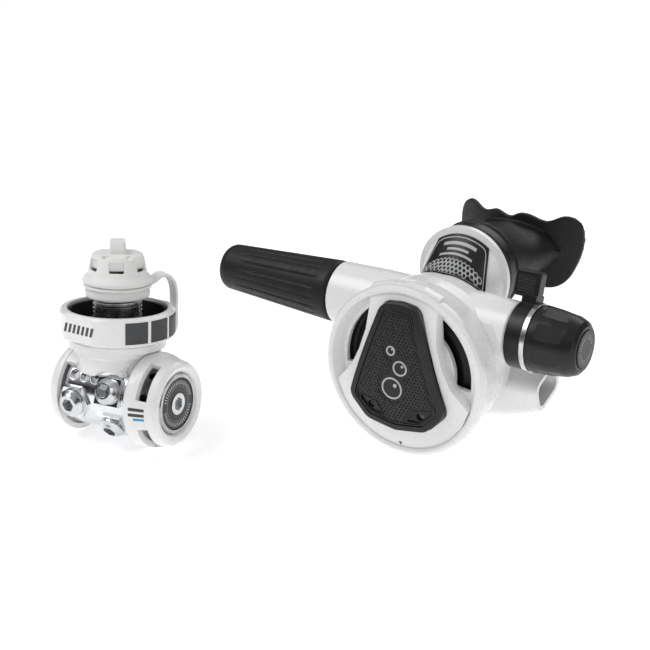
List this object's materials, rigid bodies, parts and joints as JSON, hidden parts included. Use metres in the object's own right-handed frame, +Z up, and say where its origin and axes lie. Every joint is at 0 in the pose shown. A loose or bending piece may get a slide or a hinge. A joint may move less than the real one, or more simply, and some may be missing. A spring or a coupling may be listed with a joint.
{
  "type": "scuba regulator set",
  "caption": "Scuba regulator set: a DIN first stage with handwheel, dust cap and plugged ports, and a round second stage with purge button, adjusting knob, lever and mouthpiece.",
  "frame": {"origin": "middle of the set's box, on the surface it stands on", "axes": "+X along the second stage's valve barrel towards its knob, +Y from its cover back to its mouthpiece, +Z up"},
  "size_m": [0.2268, 0.2034, 0.0953],
  "materials": {
    "white_shell": "smooth satin-gloss moulded composite",
    "white_rubber": "soft matte white elastomer",
    "chrome": "polished chromed brass",
    "dark_chrome": "black-chromed brass",
    "steel": "turned stainless steel",
    "spring_steel": "drawn spring wire",
    "brass": "turned brass",
    "black_rubber": "matte black rubber",
    "black_plastic": "fine-textured black plastic",
    "dark_label": "dark grey disc with a ring of tick marks",
    "grip_grey": "dark grey soft grip",
    "silicone": "translucent grey silicone",
    "filter_bronze": "sintered bronze"
  },
  "bodies": {
    "first_stage": {"first_stage_body": "chrome", "body_shroud": "white_shell", "left_end_cap": "white_shell", "balance_plug": "chrome", "right_end_cap": "white_shell", "spring_retainer": "dark_chrome", "label_disc": "dark_label", "low_pressure_plugs": "steel", "high_pressure_plugs": "steel", "port_orings": "black_rubber", "din_stem": "chrome", "inlet_filter": "filter_bronze", "main_spring": "spring_steel", "main_diaphragm": "black_rubber", "valve_crown": "steel", "poppet_return_spring": "spring_steel", "cap_strap": "white_rubber"},
    "handwheel": {"din_retainer": "dark_chrome", "din_oring": "black_rubber", "handwheel": "white_shell", "handwheel_hub": "black_plastic", "handwheel_grips": "grip_grey"},
    "dust_cap": {"dust_cap": "white_rubber"},
    "pressure_screw": {"pressure_screw": "steel"},
    "first_valve": {"spring_pad": "brass", "push_pin": "steel", "first_stage_poppet": "brass"},
    "second_stage": {"case": "white_shell", "cover_ring": "white_shell", "front_panel": "white_shell", "diaphragm": "black_rubber", "diaphragm_ring": "black_plastic", "valve_barrel": "chrome", "inlet_fitting": "chrome", "inlet_orifice": "brass", "neck_badge": "black_plastic", "mouthpiece": "black_rubber", "mouthpiece_clamp": "black_plastic", "exhaust_tee": "white_shell", "poppet_spring": "spring_steel", "purge_spring": "spring_steel"},
    "purge": {"purge_button": "black_plastic", "purge_pad": "black_plastic"},
    "diaphragm_centre": {"diaphragm_disc": "steel"},
    "demand_lever": {"demand_lever": "steel"},
    "poppet": {"poppet": "black_plastic", "poppet_seat": "silicone"},
    "adjusting_knob": {"adjusting_screw": "chrome", "knob": "black_plastic", "knob_trim_ring": "steel", "knob_end_disc": "black_plastic"},
    "venturi_lever": {"lever_collar": "black_plastic", "venturi_vane": "black_plastic"},
    "exhaust_valve": {"exhaust_valve": "silicone"},
    "hose_swivel": {"swivel_nut": "chrome", "hose_ferrule": "chrome"},
    "hose_sleeve": {"hose_protector": "black_rubber"}
  },
  "joints": [
    {"name": "handwheel_turn", "type": "hinge", "parent": "first_stage", "child": "handwheel", "pos_m": [-0.08615, -0.07313, 0.05674], "axis": [-0.0497, 0.1347, 0.9896], "continuous": true},
    {"name": "cap_lift", "type": "slide", "parent": "first_stage", "child": "dust_cap", "axis": [-0.0497, 0.1347, 0.9896], "range_m": [0, 0.03]},
    {"name": "pressure_screw_turn", "type": "hinge", "parent": "first_stage", "child": "pressure_screw", "pos_m": [-0.05452, -0.07556, 0.02329], "axis": [0.9963, 0.0762, 0.0397], "range_deg": [-180, 180]},
    {"name": "first_valve_lift", "type": "slide", "parent": "first_stage", "child": "first_valve", "axis": [-0.9963, -0.0762, -0.0397], "range_m": [0, 0.0008], "stiffness_N_per_m": 1500, "deforming": ["main_diaphragm", "main_spring", "poppet_return_spring"]},
    {"name": "stage_spacing", "type": "slide", "parent": "first_stage", "child": "second_stage", "axis": [1, 0, 0], "range_m": [0, 0.06]},
    {"name": "purge_press", "type": "slide", "parent": "second_stage", "child": "purge", "axis": [0, 1, 0], "range_m": [0, 0.003], "stiffness_N_per_m": 600, "deforming": ["purge_spring"]},
    {"name": "diaphragm_stroke", "type": "slide", "parent": "second_stage", "child": "diaphragm_centre", "axis": [0, 1, 0], "range_m": [0, 0.003], "deforming": ["diaphragm"]},
    {"name": "demand_lever_swing", "type": "hinge", "parent": "second_stage", "child": "demand_lever", "pos_m": [0.03789, 0.00405, 0.0577], "axis": [1, 0, 0], "range_deg": [0, 12]},
    {"name": "poppet_lift", "type": "slide", "parent": "second_stage", "child": "poppet", "axis": [1, 0, 0], "range_m": [0, 0.0008], "deforming": ["poppet_spring"]},
    {"name": "knob_turn", "type": "hinge", "parent": "second_stage", "child": "adjusting_knob", "pos_m": [0.09789, 0.00965, 0.0593], "axis": [1, 0, 0], "range_deg": [-360, 360]},
    {"name": "venturi_lever_turn", "type": "hinge", "parent": "second_stage", "child": "venturi_lever", "pos_m": [0.08389, 0.00965, 0.0593], "axis": [1, 0, 0], "range_deg": [-20, 20]},
    {"name": "exhaust_valve_lift", "type": "slide", "parent": "second_stage", "child": "exhaust_valve", "axis": [0, 1, 0], "range_m": [0, 0.0013], "stiffness_N_per_m": 60},
    {"name": "hose_swivel_turn", "type": "hinge", "parent": "second_stage", "child": "hose_swivel", "pos_m": [-0.02211, 0.00965, 0.0593], "axis": [1, 0, 0], "continuous": true},
    {"name": "protector_slide", "type": "slide", "parent": "hose_swivel", "child": "hose_sleeve", "axis": [-1, 0, 0], "range_m": [0, 0.03]}
  ],
  "couplings": [
    {"joint": "diaphragm_stroke", "follows": "purge_press", "ratio": 1},
    {"joint": "demand_lever_swing", "follows": "purge_press", "rad_per_m": 53.3},
    {"joint": "poppet_lift", "follows": "purge_press", "ratio": 0.25}
  ]
}
